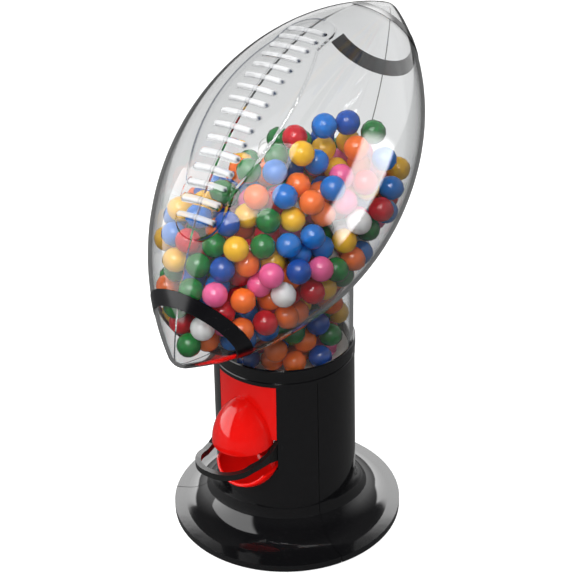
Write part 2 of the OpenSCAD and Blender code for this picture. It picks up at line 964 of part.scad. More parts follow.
module gumballs() {
  pitch = gumball_diameter + gumball_gap;
  row = pitch * sqrt(3) / 2;
  layer = pitch * sqrt(2 / 3);
  color([0.2, 0.45, 0.8])
    for (k = [0:13], j = [-9:9], i = [-6:6])
      let (p = [
        (i + (j % 2 == 0 ? 0 : 0.5) + (k % 2) * 0.5) * pitch,
        (j + (k % 2) / 3) * row,
        floor_height + gumball_diameter / 2 + 1.3 + k * layer
      ])
      if (heap_depth(p) > 0 && (globe_depth(p) > 0 || in_neck(p)) && !in_core(p))
        translate(p) sphere(r = gumball_diameter / 2, $fn = 24);
}

// ================================================================================================

globe_left();
globe_right();
upper_stripe();
lower_stripe();
collar_ring();
clamp_ring();
front_shell();
rear_shell();
front_panel();
chute_scoop();
lever_loop();
quadrant_gear();
hinge_pins();
return_spring();
portion_drum();
drum_pinion();
drum_axle();
hopper_floor();
left_frame_plate();
right_frame_plate();
frame_screws();
chute_ramp();
bottom_plate();
non_slip_pad();
base_screws();
gumballs();
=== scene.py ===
"""Looks of a table-top gumball machine: clear football globe, gumballs, black stand, red chute."""
import json
import math

import bmesh
import bpy
import numpy as np
from mathutils import Matrix, Vector


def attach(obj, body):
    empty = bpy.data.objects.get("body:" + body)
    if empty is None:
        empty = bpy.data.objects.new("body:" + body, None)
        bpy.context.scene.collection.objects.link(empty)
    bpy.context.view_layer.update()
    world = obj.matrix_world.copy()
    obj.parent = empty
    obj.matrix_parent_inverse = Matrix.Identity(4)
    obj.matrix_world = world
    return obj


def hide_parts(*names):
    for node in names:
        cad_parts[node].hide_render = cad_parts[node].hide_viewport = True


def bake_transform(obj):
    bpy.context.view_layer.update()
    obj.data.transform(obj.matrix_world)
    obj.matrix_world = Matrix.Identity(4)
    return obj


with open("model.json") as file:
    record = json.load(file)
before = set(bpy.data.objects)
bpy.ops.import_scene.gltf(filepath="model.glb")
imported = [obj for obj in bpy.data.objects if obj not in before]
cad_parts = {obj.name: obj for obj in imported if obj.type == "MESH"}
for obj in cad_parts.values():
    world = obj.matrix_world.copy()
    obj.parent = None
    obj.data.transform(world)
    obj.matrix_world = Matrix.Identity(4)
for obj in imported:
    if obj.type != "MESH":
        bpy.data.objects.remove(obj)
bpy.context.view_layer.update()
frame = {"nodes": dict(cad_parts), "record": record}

MM = 0.001


# --- camera ------------------------------------------------------------------------------------

VIEW_AZIMUTH, VIEW_ELEVATION, VIEW_ROLL = (math.radians(a) for a in (35.4, 28.34, -1.25))
CAMERA_PLACE = (0.3983, -0.5605, 0.5255)
LENS, SENSOR_WIDTH = 86.52, 36
SHIFT_X, SHIFT_Y = 0.0073, -0.0115
NEAR_LIMIT, FAR_LIMIT = 0.01, 50


def set_camera():
    toward = Vector((-math.sin(VIEW_AZIMUTH) * math.cos(VIEW_ELEVATION),
                     math.cos(VIEW_AZIMUTH) * math.cos(VIEW_ELEVATION),
                     -math.sin(VIEW_ELEVATION)))
    side = toward.cross(Vector((0, 0, 1))).normalized()
    up = side.cross(toward)
    side, up = (side * math.cos(VIEW_ROLL) + up * math.sin(VIEW_ROLL),
                up * math.cos(VIEW_ROLL) - side * math.sin(VIEW_ROLL))
    data = bpy.data.cameras.new("camera")
    camera = bpy.data.objects.new("camera", data)
    bpy.context.scene.collection.objects.link(camera)
    turn = Matrix((side, up, -toward)).transposed().to_4x4()
    camera.matrix_world = Matrix.Translation(CAMERA_PLACE) @ turn
    data.lens = LENS
    data.sensor_width = SENSOR_WIDTH
    data.shift_x, data.shift_y = SHIFT_X, SHIFT_Y
    data.clip_start, data.clip_end = NEAR_LIMIT, FAR_LIMIT
    bpy.context.scene.camera = camera


set_camera()
bpy.context.scene.view_settings.view_transform = "Standard"


# --- small node helpers ------------------------------------------------------------------------

HALF = 0.5


def grey(level):
    return (level, level, level, 1)


def feed(tree, value, socket):
    """Set a socket to a value, or link it to the output given in its place."""
    if isinstance(value, bpy.types.NodeSocket):
        tree.links.new(value, socket)
    else:
        socket.default_value = value


def arithmetic(tree, operation, *values):
    node = tree.nodes.new("ShaderNodeMath")
    node.operation = operation
    for value, socket in zip(values, node.inputs):
        feed(tree, value, socket)
    return node.outputs[0]


def ramp(tree, value, before, after, smooth=False):
    """Carry one range of values over to another, clamped at both ends."""
    node = tree.nodes.new("ShaderNodeMapRange")
    if smooth:
        node.interpolation_type = "SMOOTHSTEP"
    for label, limit in zip(("From Min", "From Max", "To Min", "To Max"), (*before, *after)):
        node.inputs[label].default_value = limit
    tree.links.new(value, node.inputs["Value"])
    return node.outputs["Result"]


def mixed_color(tree, share, first, second):
    node = tree.nodes.new("ShaderNodeMix")
    node.data_type = "RGBA"
    for value, number in ((share, 0), (first, 6), (second, 7)):
        feed(tree, value, node.inputs[number])
    return node.outputs[2]


def noise(tree, vector, scale, detail):
    node = tree.nodes.new("ShaderNodeTexNoise")
    node.inputs["Detail"].default_value = detail
    feed(tree, scale, node.inputs["Scale"])
    tree.links.new(vector, node.inputs["Vector"])
    return node.outputs["Fac"]


def bump_normal(tree, height, strength):
    node = tree.nodes.new("ShaderNodeBump")
    node.inputs["Strength"].default_value = strength
    node.inputs["Distance"].default_value = 1 * MM
    tree.links.new(height, node.inputs["Height"])
    return node.outputs["Normal"]


def new_material(name):
    """A material with its node tree and its shader's inputs."""
    material = bpy.data.materials.new(name)
    material.use_nodes = True
    tree = material.node_tree
    return material, tree, tree.nodes["Principled BSDF"].inputs


# --- studio ------------------------------------------------------------------------------------

SKY_SEEN, SKY_DIFFUSE, SKY_INNER_MIRROR = 1.0, 0.42, 0.7
SWEEP_HEIGHTS, SWEEP_LEVELS = (0.22, 0.62), (1.0, 0.10)
WALL_DIRECTIONS, WALL_LEVELS = (-0.15, 0.45), (0.07, 1.0)
FLOOR_RADIUS, FLOOR_SIDES, FLOOR_DROP = 6, 96, 0.4 * MM
FLOOR_COLOR, FLOOR_COLOR_MIRRORED, FLOOR_ROUGHNESS = 0.68, 0.13, 0.7
FLOOR_GLOW, FLOOR_GLOW_THROUGH_GLASS = 0.8, 0.6
LAMP_AIM = Vector((0, 0, 0.16))


def studio_world():
    """White for the camera and through glass, dimmer for diffuse light and inside the glass; gloss
    sees a white wall at the back only, brightest low down."""
    world = bpy.data.worlds.new("studio")
    bpy.context.scene.world = world
    world.use_nodes = True
    tree = world.node_tree
    tree.nodes.clear()

    def sky(strength):
        node = tree.nodes.new("ShaderNodeBackground")
        node.inputs["Color"].default_value = (1, 1, 1, 1)
        feed(tree, strength, node.inputs["Strength"])
        return node.outputs[0]

    path = tree.nodes.new("ShaderNodeLightPath").outputs
    direction = tree.nodes.new("ShaderNodeTexCoord").outputs["Generated"]
    split = tree.nodes.new("ShaderNodeSeparateXYZ")
    tree.links.new(direction, split.inputs[0])
    sweep = ramp(tree, split.outputs["Z"], SWEEP_HEIGHTS, SWEEP_LEVELS)
    backwards = tree.nodes.new("ShaderNodeVectorMath")
    backwards.operation = "DOT_PRODUCT"
    backwards.inputs[1].default_value = (-math.sin(VIEW_AZIMUTH), math.cos(VIEW_AZIMUTH), 0)
    tree.links.new(direction, backwards.inputs[0])
    wall = ramp(tree, backwards.outputs["Value"], WALL_DIRECTIONS, WALL_LEVELS)
    inner_mirror = arithmetic(tree, "MULTIPLY", path["Glossy Depth"], path["Is Transmission Ray"])
    seen = sky(SKY_SEEN)
    for kind, strength in ((path["Glossy Depth"], arithmetic(tree, "MULTIPLY", sweep, wall)),
                           (inner_mirror, SKY_INNER_MIRROR),
                           (path["Diffuse Depth"], SKY_DIFFUSE)):
        choice = tree.nodes.new("ShaderNodeMixShader")
        tree.links.new(kind, choice.inputs["Fac"])
        tree.links.new(seen, choice.inputs[1])
        tree.links.new(sky(strength), choice.inputs[2])
        seen = choice.outputs[0]
    tree.links.new(seen, tree.nodes.new("ShaderNodeOutputWorld").inputs["Surface"])


def studio_floor():
    """Pale floor that keeps the shadow, glows white when looked at and is dark in mirrors."""
    mesh = bpy.data.meshes.new("floor")
    bm = bmesh.new()
    bmesh.ops.create_circle(bm, cap_ends=True, radius=FLOOR_RADIUS, segments=FLOOR_SIDES)
    bm.to_mesh(mesh)
    bm.free()
    floor = bpy.data.objects.new("floor", mesh)
    bpy.context.scene.collection.objects.link(floor)
    floor.location.z = -FLOOR_DROP
    material, tree, shader = new_material("floor")
    path = tree.nodes.new("ShaderNodeLightPath").outputs
    bounces = arithmetic(tree, "ADD", path["Diffuse Depth"], path["Glossy Depth"])
    straight = arithmetic(tree, "LESS_THAN", bounces, HALF)
    seen_through = arithmetic(tree, "MULTIPLY", path["Is Transmission Ray"], straight)
    glow_through = arithmetic(tree, "MULTIPLY", seen_through, FLOOR_GLOW_THROUGH_GLASS)
    glow = arithmetic(tree, "MULTIPLY_ADD", path["Is Camera Ray"], FLOOR_GLOW, glow_through)
    color = mixed_color(tree, path["Is Glossy Ray"], grey(FLOOR_COLOR), grey(FLOOR_COLOR_MIRRORED))
    tree.links.new(color, shader["Base Color"])
    tree.links.new(glow, shader["Emission Strength"])
    shader["Emission Color"].default_value = (1, 1, 1, 1)
    shader["Roughness"].default_value = FLOOR_ROUGHNESS
    mesh.materials.append(material)


def soft_edges(data, share, skin_only):
    """Fade the lamp's face towards its four edges; some lamps show on outer skins only."""
    data.use_nodes = True
    tree = data.node_tree
    split = tree.nodes.new("ShaderNodeSeparateXYZ")
    tree.links.new(tree.nodes.new("ShaderNodeNewGeometry").outputs["Parametric"], split.inputs[0])
    fades = []
    for axis in ("X", "Y"):
        centred = arithmetic(tree, "SUBTRACT", split.outputs[axis], HALF)
        outward = arithmetic(tree, "ABSOLUTE", centred)
        fades.append(ramp(tree, outward, (HALF, HALF - share), (0, 1), smooth=True))
    shown = arithmetic(tree, "MULTIPLY", *fades)
    if skin_only:
        depth = tree.nodes.new("ShaderNodeLightPath").outputs["Transmission Depth"]
        shown = arithmetic(tree, "MULTIPLY", shown, arithmetic(tree, "LESS_THAN", depth, HALF))
    tree.links.new(shown, tree.nodes["Emission"].inputs["Strength"])


def softbox(name, azimuth, elevation, distance, width, height, level, lights_surfaces=True,
            mirrored=True, aside=0.0, lift=0.0, roll=0.0, fade=0.0, skin_only=False):
    """An area lamp of one brightness, placed by its direction from the aim (0 is the front)."""
    az, el = math.radians(azimuth), math.radians(elevation)
    away = Vector((math.sin(az) * math.cos(el), -math.cos(az) * math.cos(el), math.sin(el)))
    right = Vector((math.cos(az), math.sin(az), 0))
    above = right.cross(away) * -1
    data = bpy.data.lights.new(name, "AREA")
    data.shape = "RECTANGLE"
    data.size = width
    data.size_y = height
    data.energy = level * math.pi * width * height
    if fade:
        soft_edges(data, fade, skin_only)
    lamp = bpy.data.objects.new(name, data)
    lamp.location = LAMP_AIM + away * distance + right * aside + above * lift
    turn = Matrix.Rotation(math.radians(roll), 3, away)
    lamp.rotation_euler = Matrix((turn @ right, turn @ above, away)).transposed().to_euler()
    lamp.visible_diffuse = lights_surfaces
    lamp.visible_glossy = mirrored
    bpy.context.scene.collection.objects.link(lamp)
    return lamp


studio_world()
studio_floor()
KEY_BOX = softbox("key_box", azimuth=18, elevation=52, distance=1.3, width=1.0, height=0.8,
                  level=6.4, mirrored=False)
FRONT_LAMP = softbox("front_lamp", azimuth=30, elevation=43, distance=1.3, width=0.42,
                     height=0.42, level=42, lights_surfaces=False, fade=0.25)
SCOOP_LAMP = softbox("scoop_lamp", azimuth=12, elevation=14, distance=0.9, width=0.5, height=0.5,
                     level=4, mirrored=False)
RIGHT_WINDOW = softbox("right_window", azimuth=114, elevation=2, distance=0.45, width=0.37,
                       height=0.31, level=14, lights_surfaces=False, aside=-0.042, lift=0.07,
                       roll=36, fade=0.13, skin_only=True)
softbox("left_window", azimuth=-10, elevation=0, distance=1.0, width=3.8, height=1.3, level=3.4,
        lights_surfaces=False, aside=-1.94, lift=0.52, fade=0.03, skin_only=True)
BACK_SWEEP = softbox("back_sweep", azimuth=-146, elevation=26.5, distance=1.6, width=1.8,
                     height=0.5, level=5.5, lights_surfaces=False, fade=0.08)


# --- shared effects ----------------------------------------------------------------------------

WAVE_DETAIL = 3
SPECK_SCALE, SPECK_DETAIL, SPECK_LIMITS, SPECK_COLOR = 900, 2, (0.66, 0.74), 0.55
SHELL_TINT, SHELL_IOR = (0.985, 0.992, 0.995, 1), 1.49
SHELL_WAVE_SCALE, SHELL_WAVE_DETAIL, SHELL_BUMP, SHELL_HAZE = 18, 2, 0.03, 0.03
LACE_TINT, LACE_CLEAR, LACE_ROUGHNESS, LACE_IOR = (0.93, 0.94, 0.95, 1), 0.45, 0.22, 1.3
# Colour of the painted shade along the moulded steps and under the lace bars, also used for the
# dark dots at the bars' ends and the seam line.
PAINTED_SHADE_AND_MARK_TINT = (0.006, 0.018, 0.05, 1)


def moulded_surface():
    """Slow waves of a moulded surface, fine dust specks and a roughness that varies with them."""
    group = bpy.data.node_groups.new("moulded_surface", "ShaderNodeTree")
    for label, kind, value in (
            ("Base", "NodeSocketColor", grey(HALF)), ("Dust", "NodeSocketFloat", 0.03),
            ("Rough", "NodeSocketFloat", 0.1), ("Spread", "NodeSocketFloat", 0.05),
            ("Scale", "NodeSocketFloat", 60.0)):
        socket = group.interface.new_socket(name=label, in_out="INPUT", socket_type=kind)
        socket.default_value = value
    for label, kind in (("Color", "NodeSocketColor"), ("Roughness", "NodeSocketFloat"),
                        ("Height", "NodeSocketFloat")):
        group.interface.new_socket(name=label, in_out="OUTPUT", socket_type=kind)
    given = group.nodes.new("NodeGroupInput").outputs
    made = group.nodes.new("NodeGroupOutput").inputs
    place = group.nodes.new("ShaderNodeTexCoord").outputs["Object"]
    wave = noise(group, place, given["Scale"], WAVE_DETAIL)
    speck = ramp(group, noise(group, place, SPECK_SCALE, SPECK_DETAIL), SPECK_LIMITS, (0, 1))
    dust = arithmetic(group, "MULTIPLY", speck, given["Dust"])
    group.links.new(mixed_color(group, dust, given["Base"], grey(SPECK_COLOR)), made["Color"])
    rough = arithmetic(group, "MULTIPLY_ADD", wave, given["Spread"], given["Rough"])
    group.links.new(rough, made["Roughness"])
    group.links.new(wave, made["Height"])
    return group


MOULDED = moulded_surface()


def plastic(name, color, rough=0.1, spread=0.05, dust=0.02, scale=60, bump=0.02, specular=0.5,
            metallic=0.0):
    material, tree, shader = new_material(name)
    shader["Metallic"].default_value = metallic
    shader["Specular IOR Level"].default_value = specular
    surface = tree.nodes.new("ShaderNodeGroup")
    surface.node_tree = MOULDED
    for label, value in (("Base", (*color, 1)), ("Rough", rough), ("Spread", spread),
                         ("Dust", dust), ("Scale", scale)):
        surface.inputs[label].default_value = value
    tree.links.new(surface.outputs["Color"], shader["Base Color"])
    tree.links.new(surface.outputs["Roughness"], shader["Roughness"])
    tree.links.new(bump_normal(tree, surface.outputs["Height"], bump), shader["Normal"])
    return material


def with_painted_shade_and_marks(tree, shader, color):
    """Painted shade: dark and dull where the shell's own mask says that a moulded step is seen from
    its edge or that a lace bar's underside lies; the same mask also darkens the dots at the bars'
    ends and the seam line.
    """
    edge = tree.nodes.new("ShaderNodeAttribute")
    edge.attribute_name = "painted_shade_and_marks"
    mask = edge.outputs["Fac"]
    # Painted shade: the base colour goes dark, and the shine dull, where the mask is high.
    tree.links.new(mixed_color(tree, mask, color, PAINTED_SHADE_AND_MARK_TINT), shader["Base Color"])
    tree.links.new(ramp(tree, mask, (0, 1), (HALF, 0)), shader["Specular IOR Level"])


def clear_plastic():
    """Clear shell with slow waves and a breath of haze."""
    material, tree, shader = new_material("clear_shell")
    # Painted shade along the moulded steps and under the bars, from the shell's mask.
    with_painted_shade_and_marks(tree, shader, SHELL_TINT)
    shader["Transmission Weight"].default_value = 1
    shader["IOR"].default_value = SHELL_IOR
    shader["Metallic"].default_value = 0
    place = tree.nodes.new("ShaderNodeTexCoord").outputs["Object"]
    wave = noise(tree, place, SHELL_WAVE_SCALE, SHELL_WAVE_DETAIL)
    tree.links.new(ramp(tree, wave, (0, 1), (0, SHELL_HAZE)), shader["Roughness"])
    tree.links.new(bump_normal(tree, wave, SHELL_BUMP), shader["Normal"])
    return material


def frosted_plastic():
    """The laces: the same clear plastic, whitish where it stands up as bars."""
    material, tree, shader = new_material("lace_bars")
    # Painted shade along the moulded steps and under the bars, from the shell's mask.
    with_painted_shade_and_marks(tree, shader, LACE_TINT)
    shader["Transmission Weight"].default_value = LACE_CLEAR
    shader["Roughness"].default_value = LACE_ROUGHNESS
    shader["IOR"].default_value = LACE_IOR
    return material


BLACK = plastic("black_gloss", (0.004, 0.004, 0.0045), rough=0.05)
LEVER_BLACK = plastic("lever_black", (0.008, 0.008, 0.008), rough=0.2, spread=0.1, specular=0.4)
BASE_BLACK = plastic("base_black", (0.02, 0.02, 0.02), rough=0.5, spread=0.2, scale=140, bump=0.2)
STRIPE = plastic("stripe_black", (0.003, 0.003, 0.004), rough=0.15, spread=0.1, specular=0.3)
RED = plastic("red_gloss", (0.80, 0.006, 0.004), rough=0.05, specular=0.45)
WHITE = plastic("white_acetal", (0.72, 0.72, 0.68), rough=0.4, spread=0.2, scale=120, bump=0.1)
STEEL = plastic("zinc_steel", (0.55, 0.56, 0.58), rough=0.25, spread=0.2, metallic=1.0, bump=0.1)
RUBBER = plastic("foam_rubber", (0.02, 0.02, 0.02), rough=0.8, spread=0.1, scale=500, bump=0.6)
CLEAR = clear_plastic()
LACE = frosted_plastic()

SLOT_MATERIALS = {
    "clear_plastic": CLEAR, "stripe_black": STRIPE, "black_plastic": BLACK,
    "lever_black": LEVER_BLACK, "base_black": BASE_BLACK, "red_plastic": RED,
    "white_plastic": WHITE, "steel": STEEL, "zinc_plate": STEEL, "rubber": RUBBER,
}
for part in frame["record"]["subparts"]:
    finish = SLOT_MATERIALS.get(part["material_slot"])
    if finish:
        node = frame["nodes"][part["node"]]
        for holder in node.material_slots:
            holder.material = finish
        if not node.material_slots:
            node.data.materials.append(finish)


# --- globe's shape -----------------------------------------------------------------------------

HALF_LENGTH, WIDEST, TIP = 125.7 * MM, 65.2 * MM, 9.6 * MM
WALL = 2 * MM
LEAN = math.radians(32.7)
MIDDLE = Vector((0, 9 * MM, 216 * MM))
NECK_OUTER, NECK_INNER = 40.4 * MM, 38.4 * MM
NECK_FOOT = 113 * MM
NECK_TOP_OUTER, NECK_TOP_INNER = 185 * MM, 186 * MM
NECK_SIDES = 160
TIP_CENTRE = HALF_LENGTH - TIP
TIP_POINTS = 10
# The long sides are one arc, BIG in radius, whose centre lies BIG_OFFSET beyond the axis.
BIG = (TIP_CENTRE ** 2 - TIP ** 2 + WIDEST ** 2) / (2 * (WIDEST - TIP))
BIG_OFFSET = BIG - WIDEST
JOINT_SLOPE = math.atan2(TIP_CENTRE, BIG_OFFSET)
TO_GLOBE = Matrix.Translation(MIDDLE) @ Matrix.Rotation(LEAN - math.pi / 2, 4, "X")
WELD = 1e-6


def spindle_points(inset, count):
    """Half outline of the football, from its lower tip to its upper tip."""
    arc = [(math.cos(t) * (BIG - inset) - BIG_OFFSET, math.sin(t) * (BIG - inset))
           for t in np.linspace(-JOINT_SLOPE, JOINT_SLOPE, count)]
    ends = [(math.cos(t) * (TIP - inset), TIP_CENTRE + math.sin(t) * (TIP - inset))
            for t in np.linspace(JOINT_SLOPE, math.pi / 2, TIP_POINTS)[1:]]
    return [(x, -z) for x, z in reversed(ends)] + arc + ends


def profile_edge(bm, points, turn):
    """The outline's corners, at one turn about Z from the lace side (-Y) to the right."""
    return [bm.verts.new((r * math.sin(turn), -r * math.cos(turn), z)) for r, z in points]


def mesh_object(name, bm, materials, body, smooth_angle=35):
    mesh = bpy.data.meshes.new(name)
    bm.to_mesh(mesh)
    bm.free()
    for material in materials:
        mesh.materials.append(material)
    mesh.shade_smooth()
    mesh.set_sharp_from_angle(angle=math.radians(smooth_angle))
    piece = bpy.data.objects.new(name, mesh)
    bpy.context.scene.collection.objects.link(piece)
    if body:
        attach(piece, body)
    return piece


# --- clear shell -------------------------------------------------------------------------------

PATCH_MIDDLE = -2 * MM
LENS_RADIUS, LENS_OFFSET = 126.1 * MM, 102.1 * MM
PATCH_END_RADIUS, PATCH_END_PLACE = 15 * MM, 59 * MM
PATCH_RISE, PATCH_SLOPE_WIDTH = 0.9 * MM, 0.9 * MM
LACES = [(-65.5 + 8.2 * i) * MM for i in range(16)]
LACE_SHIFT, LACE_HALF_LENGTH = 0.4 * MM, 10.7 * MM
LACE_RADIUS, LACE_RISE = 1.6 * MM, 1.0 * MM
LACE_AREA_HALF_LENGTH = 80 * MM
RELIEF_HALF_WIDTH, MASK_HALF_WIDTH, BARS_HALF_WIDTH = 27 * MM, 28 * MM, 14 * MM
SECTOR = math.radians(26)
FOOTBALL_WELD = 2e-6
SHELL_GAP = 0.03 * MM


def patch_depth(x, z):
    """Distance inside the outline of the lace patch."""
    side, along = abs(x), abs(z - PATCH_MIDDLE)
    lens = math.sqrt(max(LENS_RADIUS ** 2 - along ** 2, 0)) - LENS_OFFSET - side
    return max(lens, PATCH_END_RADIUS - math.hypot(side, max(along - PATCH_END_PLACE, 0)))


def lace_distance(x, z):
    """Distance from the middle line of the nearest lace bar, and how far above that bar."""
    lace = min(LACES, key=lambda place: abs(place - z))
    return math.hypot(max(abs(x + LACE_SHIFT) - LACE_HALF_LENGTH, 0), z - lace), z - lace


def shell_relief(x, z):
    """Height of the lace patch and its bars above the plain football, lace side only."""
    edge = min(max(patch_depth(x, z) / PATCH_SLOPE_WIDTH, 0), 1)
    far = lace_distance(x, z)[0] / LACE_RADIUS
    return (PATCH_RISE * edge * edge * (3 - 2 * edge)
            + LACE_RISE * math.sqrt(max(1 - far * far, 0)))


def near_laces(q, half_width):
    return q.y < 0 and abs(q.x) < half_width and abs(q.z) < LACE_AREA_HALF_LENGTH


# Dark lines painted on the shell: painted shade along the lace patch's moulded steps and under the
# bars, plus the dots at the bars' ends and the seam line; how far in they lie and how wide they
# are.
BORDER_SPLIT = 3 * MM
BORDER_FADE_START, BORDER_FADE_LENGTH = 52 * MM, 18 * MM
LEFT_BORDER = (1.5 * MM, 1.2 * MM)
RIGHT_BORDER, RIGHT_BORDER_LEVEL = (0.5 * MM, 0.6 * MM), 0.25
BAR_SHADE, UNDER_BAR_LEVEL, OVER_BAR_LEVEL = (1.8 * MM, 0.45 * MM), 0.45, 0.12
BAR_END_DOT, BAR_END_DOT_WIDTH = (11.4 * MM, -0.2 * MM), 1.1 * MM
SEAM_LINE, SEAM_LEVEL = (0.9 * MM, 0.3 * MM), 0.45


def bump_of(distance, width):
    return math.exp(-(distance / width) ** 2)


def painted_shade_and_marks(x, z):
    """How dark to paint the shell: painted shade along the patch's borders and under the bars, plus
    the dots at the bars' ends and the seam."""
    depth = patch_depth(x, z)
    # Painted shade along the patch's borders: a dark line at the left, fading out towards the lower
    # end, and a fainter one at the right.
    if x < BORDER_SPLIT:
        fading = min(max((z + BORDER_FADE_START) / BORDER_FADE_LENGTH, 0), 1)
        border = fading * bump_of(depth - LEFT_BORDER[0], LEFT_BORDER[1])
    else:
        border = RIGHT_BORDER_LEVEL * bump_of(depth - RIGHT_BORDER[0], RIGHT_BORDER[1])
    # Painted shade under each lace bar, fainter above it; then the dark dots at the bars' ends and
    # the seam line.
    far, above = lace_distance(x, z)
    bar = (bump_of(far - BAR_SHADE[0], BAR_SHADE[1])
           * (UNDER_BAR_LEVEL if above < 0 else OVER_BAR_LEVEL))
    mark = bump_of(math.hypot(x - BAR_END_DOT[0], above - BAR_END_DOT[1]), BAR_END_DOT_WIDTH)
    seam = SEAM_LEVEL * bump_of(abs(x) - SEAM_LINE[0], SEAM_LINE[1]) if depth > 0 else 0.0
    return min(border + bar + mark + seam, 1.0)


def football(inset, count, fine, coarse, relief=False):
    """Closed football in the globe's place, finer on the lace side."""
    points = spindle_points(inset, count)
    bm = bmesh.new()
    for start, sweep, steps in ((-SECTOR, 2 * SECTOR, fine),
                                (SECTOR, 2 * math.pi - 2 * SECTOR, coarse)):
        edge = profile_edge(bm, points, start)
        spine = [bm.edges.new(pair) for pair in zip(edge, edge[1:])]
        bmesh.ops.spin(bm, geom=edge + spine, cent=(0, 0, 0), axis=(0, 0, 1), dvec=(0, 0, 0),
                       angle=sweep, steps=steps)
    bmesh.ops.remove_doubles(bm, verts=bm.verts, dist=FOOTBALL_WELD)
    bmesh.ops.recalc_face_normals(bm, faces=bm.faces)
    if relief:
        bm.normal_update()
        moves = [(v, v.normal * shell_relief(v.co.x, v.co.z)) for v in bm.verts
                 if near_laces(v.co, RELIEF_HALF_WIDTH)]
        for v, move in moves:
            v.co += move
    bmesh.ops.transform(bm, matrix=TO_GLOBE, verts=bm.verts)
    return bm


def rod(radius, low, high):
    bm = bmesh.new()
    bmesh.ops.create_cone(bm, cap_ends=True, segments=NECK_SIDES, radius1=radius, radius2=radius,
                          depth=high - low, matrix=Matrix.Translation((0, 0, (low + high) / 2)))
    return bm


def scratch_object(name, bm):
    mesh = bpy.data.meshes.new(name)
    bm.to_mesh(mesh)
    bm.free()
    piece = bpy.data.objects.new(name, mesh)
    bpy.context.scene.collection.objects.link(piece)
    return piece


def cut_and_joined(base, steps):
    """The base mesh after a chain of unions and differences, as a new bmesh."""
    helpers = []
    for kind, bm in steps:
        helper = scratch_object("helper", bm)
        helpers.append(helper)
        change = base.modifiers.new(kind, "BOOLEAN")
        change.operation = kind
        change.solver = "EXACT"
        change.object = helper
    graph = bpy.context.evaluated_depsgraph_get()
    bm = bmesh.new()
    bm.from_mesh(base.evaluated_get(graph).to_mesh())
    for piece in helpers + [base]:
        bpy.data.objects.remove(piece)
    return bm


def make_shell():
    """The two halves of the clear globe, each with its half of the neck."""
    whole = cut_and_joined(
        scratch_object("football", football(0, count=400, fine=120, coarse=90, relief=True)),
        [("UNION", rod(NECK_OUTER, NECK_FOOT, NECK_TOP_OUTER)),
         ("DIFFERENCE", football(WALL, count=90, fine=14, coarse=84)),
         ("DIFFERENCE", rod(NECK_INNER, NECK_FOOT - 2 * MM, NECK_TOP_INNER))])
    to_football = TO_GLOBE.inverted()

    def on_outside(q):
        """True on the outer skin, false on the bore."""
        return math.hypot(math.hypot(q.x, q.y) + BIG_OFFSET, q.z) > BIG - WALL / 2

    for side, node in ((1, "globe_right"), (-1, "globe_left")):
        bm = whole.copy()
        cut = bmesh.ops.bisect_plane(
            bm, geom=bm.verts[:] + bm.edges[:] + bm.faces[:], dist=1e-7,
            plane_co=(side * SHELL_GAP, 0, 0), plane_no=(side, 0, 0), clear_inner=True)
        rim = [e for e in cut["geom_cut"] if isinstance(e, bmesh.types.BMEdge)]
        bmesh.ops.triangle_fill(bm, use_beauty=True, edges=rim)
        bmesh.ops.recalc_face_normals(bm, faces=bm.faces)
        # A mask of painted shade along the moulded steps and under the bars, with the dots at the
        # bars' ends and the seam line, for the shell's base colour.
        painted_shade_and_mark_layer = bm.verts.layers.float.new("painted_shade_and_marks")
        for v in bm.verts:
            q = to_football @ v.co
            if near_laces(q, MASK_HALF_WIDTH) and on_outside(q):
                v[painted_shade_and_mark_layer] = painted_shade_and_marks(q.x, q.z)
        for face in bm.faces:
            q = to_football @ face.calc_center_median()
            if near_laces(q, BARS_HALF_WIDTH) and on_outside(q):
                if lace_distance(q.x, q.z)[0] < LACE_RADIUS:
                    face.material_index = 1
        half = mesh_object(node + "_shell", bm, [CLEAR, LACE], "globe",
                           smooth_angle=40)
        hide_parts(node)
    whole.free()


BAND_POINTS = 260
BAND_CLEARANCE, BAND_THICKNESS = 0.03 * MM, 0.38 * MM


def band(name, low, high, start, sweep, steps, node):
    """A printed band that hugs the football between two distances along it."""
    inner = [(r + BAND_CLEARANCE, z) for r, z in spindle_points(0, BAND_POINTS) if low <= z <= high]
    outer = [(r + BAND_THICKNESS, z) for r, z in reversed(inner)]
    full = sweep == 360
    bm = bmesh.new()
    loop = profile_edge(bm, inner + outer, math.radians(start))
    edges = [bm.edges.new(pair) for pair in zip(loop, loop[1:] + loop[:1])]
    if not full:
        bm.faces.new(loop)
    spin = bmesh.ops.spin(bm, geom=loop + edges, cent=(0, 0, 0), axis=(0, 0, 1), dvec=(0, 0, 0),
                          angle=math.radians(sweep), steps=steps, use_merge=full)
    if not full:
        bm.faces.new([v for v in spin["geom_last"] if isinstance(v, bmesh.types.BMVert)])
    bmesh.ops.remove_doubles(bm, verts=bm.verts, dist=WELD)
    bmesh.ops.recalc_face_normals(bm, faces=bm.faces)
    bmesh.ops.transform(bm, matrix=TO_GLOBE, verts=bm.verts)
    piece = mesh_object(name, bm, [STRIPE], "globe")
    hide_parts(node)


def make_spring():
    """The return spring: the CAD node's mesh, welded and set in its place as one steel piece."""
    original = frame["nodes"]["return_spring"]
    bm = bmesh.new()
    bm.from_mesh(original.data)
    bmesh.ops.transform(bm, matrix=original.matrix_world, verts=bm.verts)
    bmesh.ops.remove_doubles(bm, verts=bm.verts, dist=WELD)
    spring = mesh_object("lever_spring", bm, [STEEL], None)
    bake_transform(spring)
    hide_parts("return_spring")


make_shell()
make_spring()
band("lower_band", -105.6 * MM, -98 * MM, start=0, sweep=360, steps=120, node="lower_stripe")
band("upper_band", 98.4 * MM, 106.2 * MM, start=-3, sweep=258, steps=90, node="upper_stripe")


# --- gumballs ----------------------------------------------------------------------------------

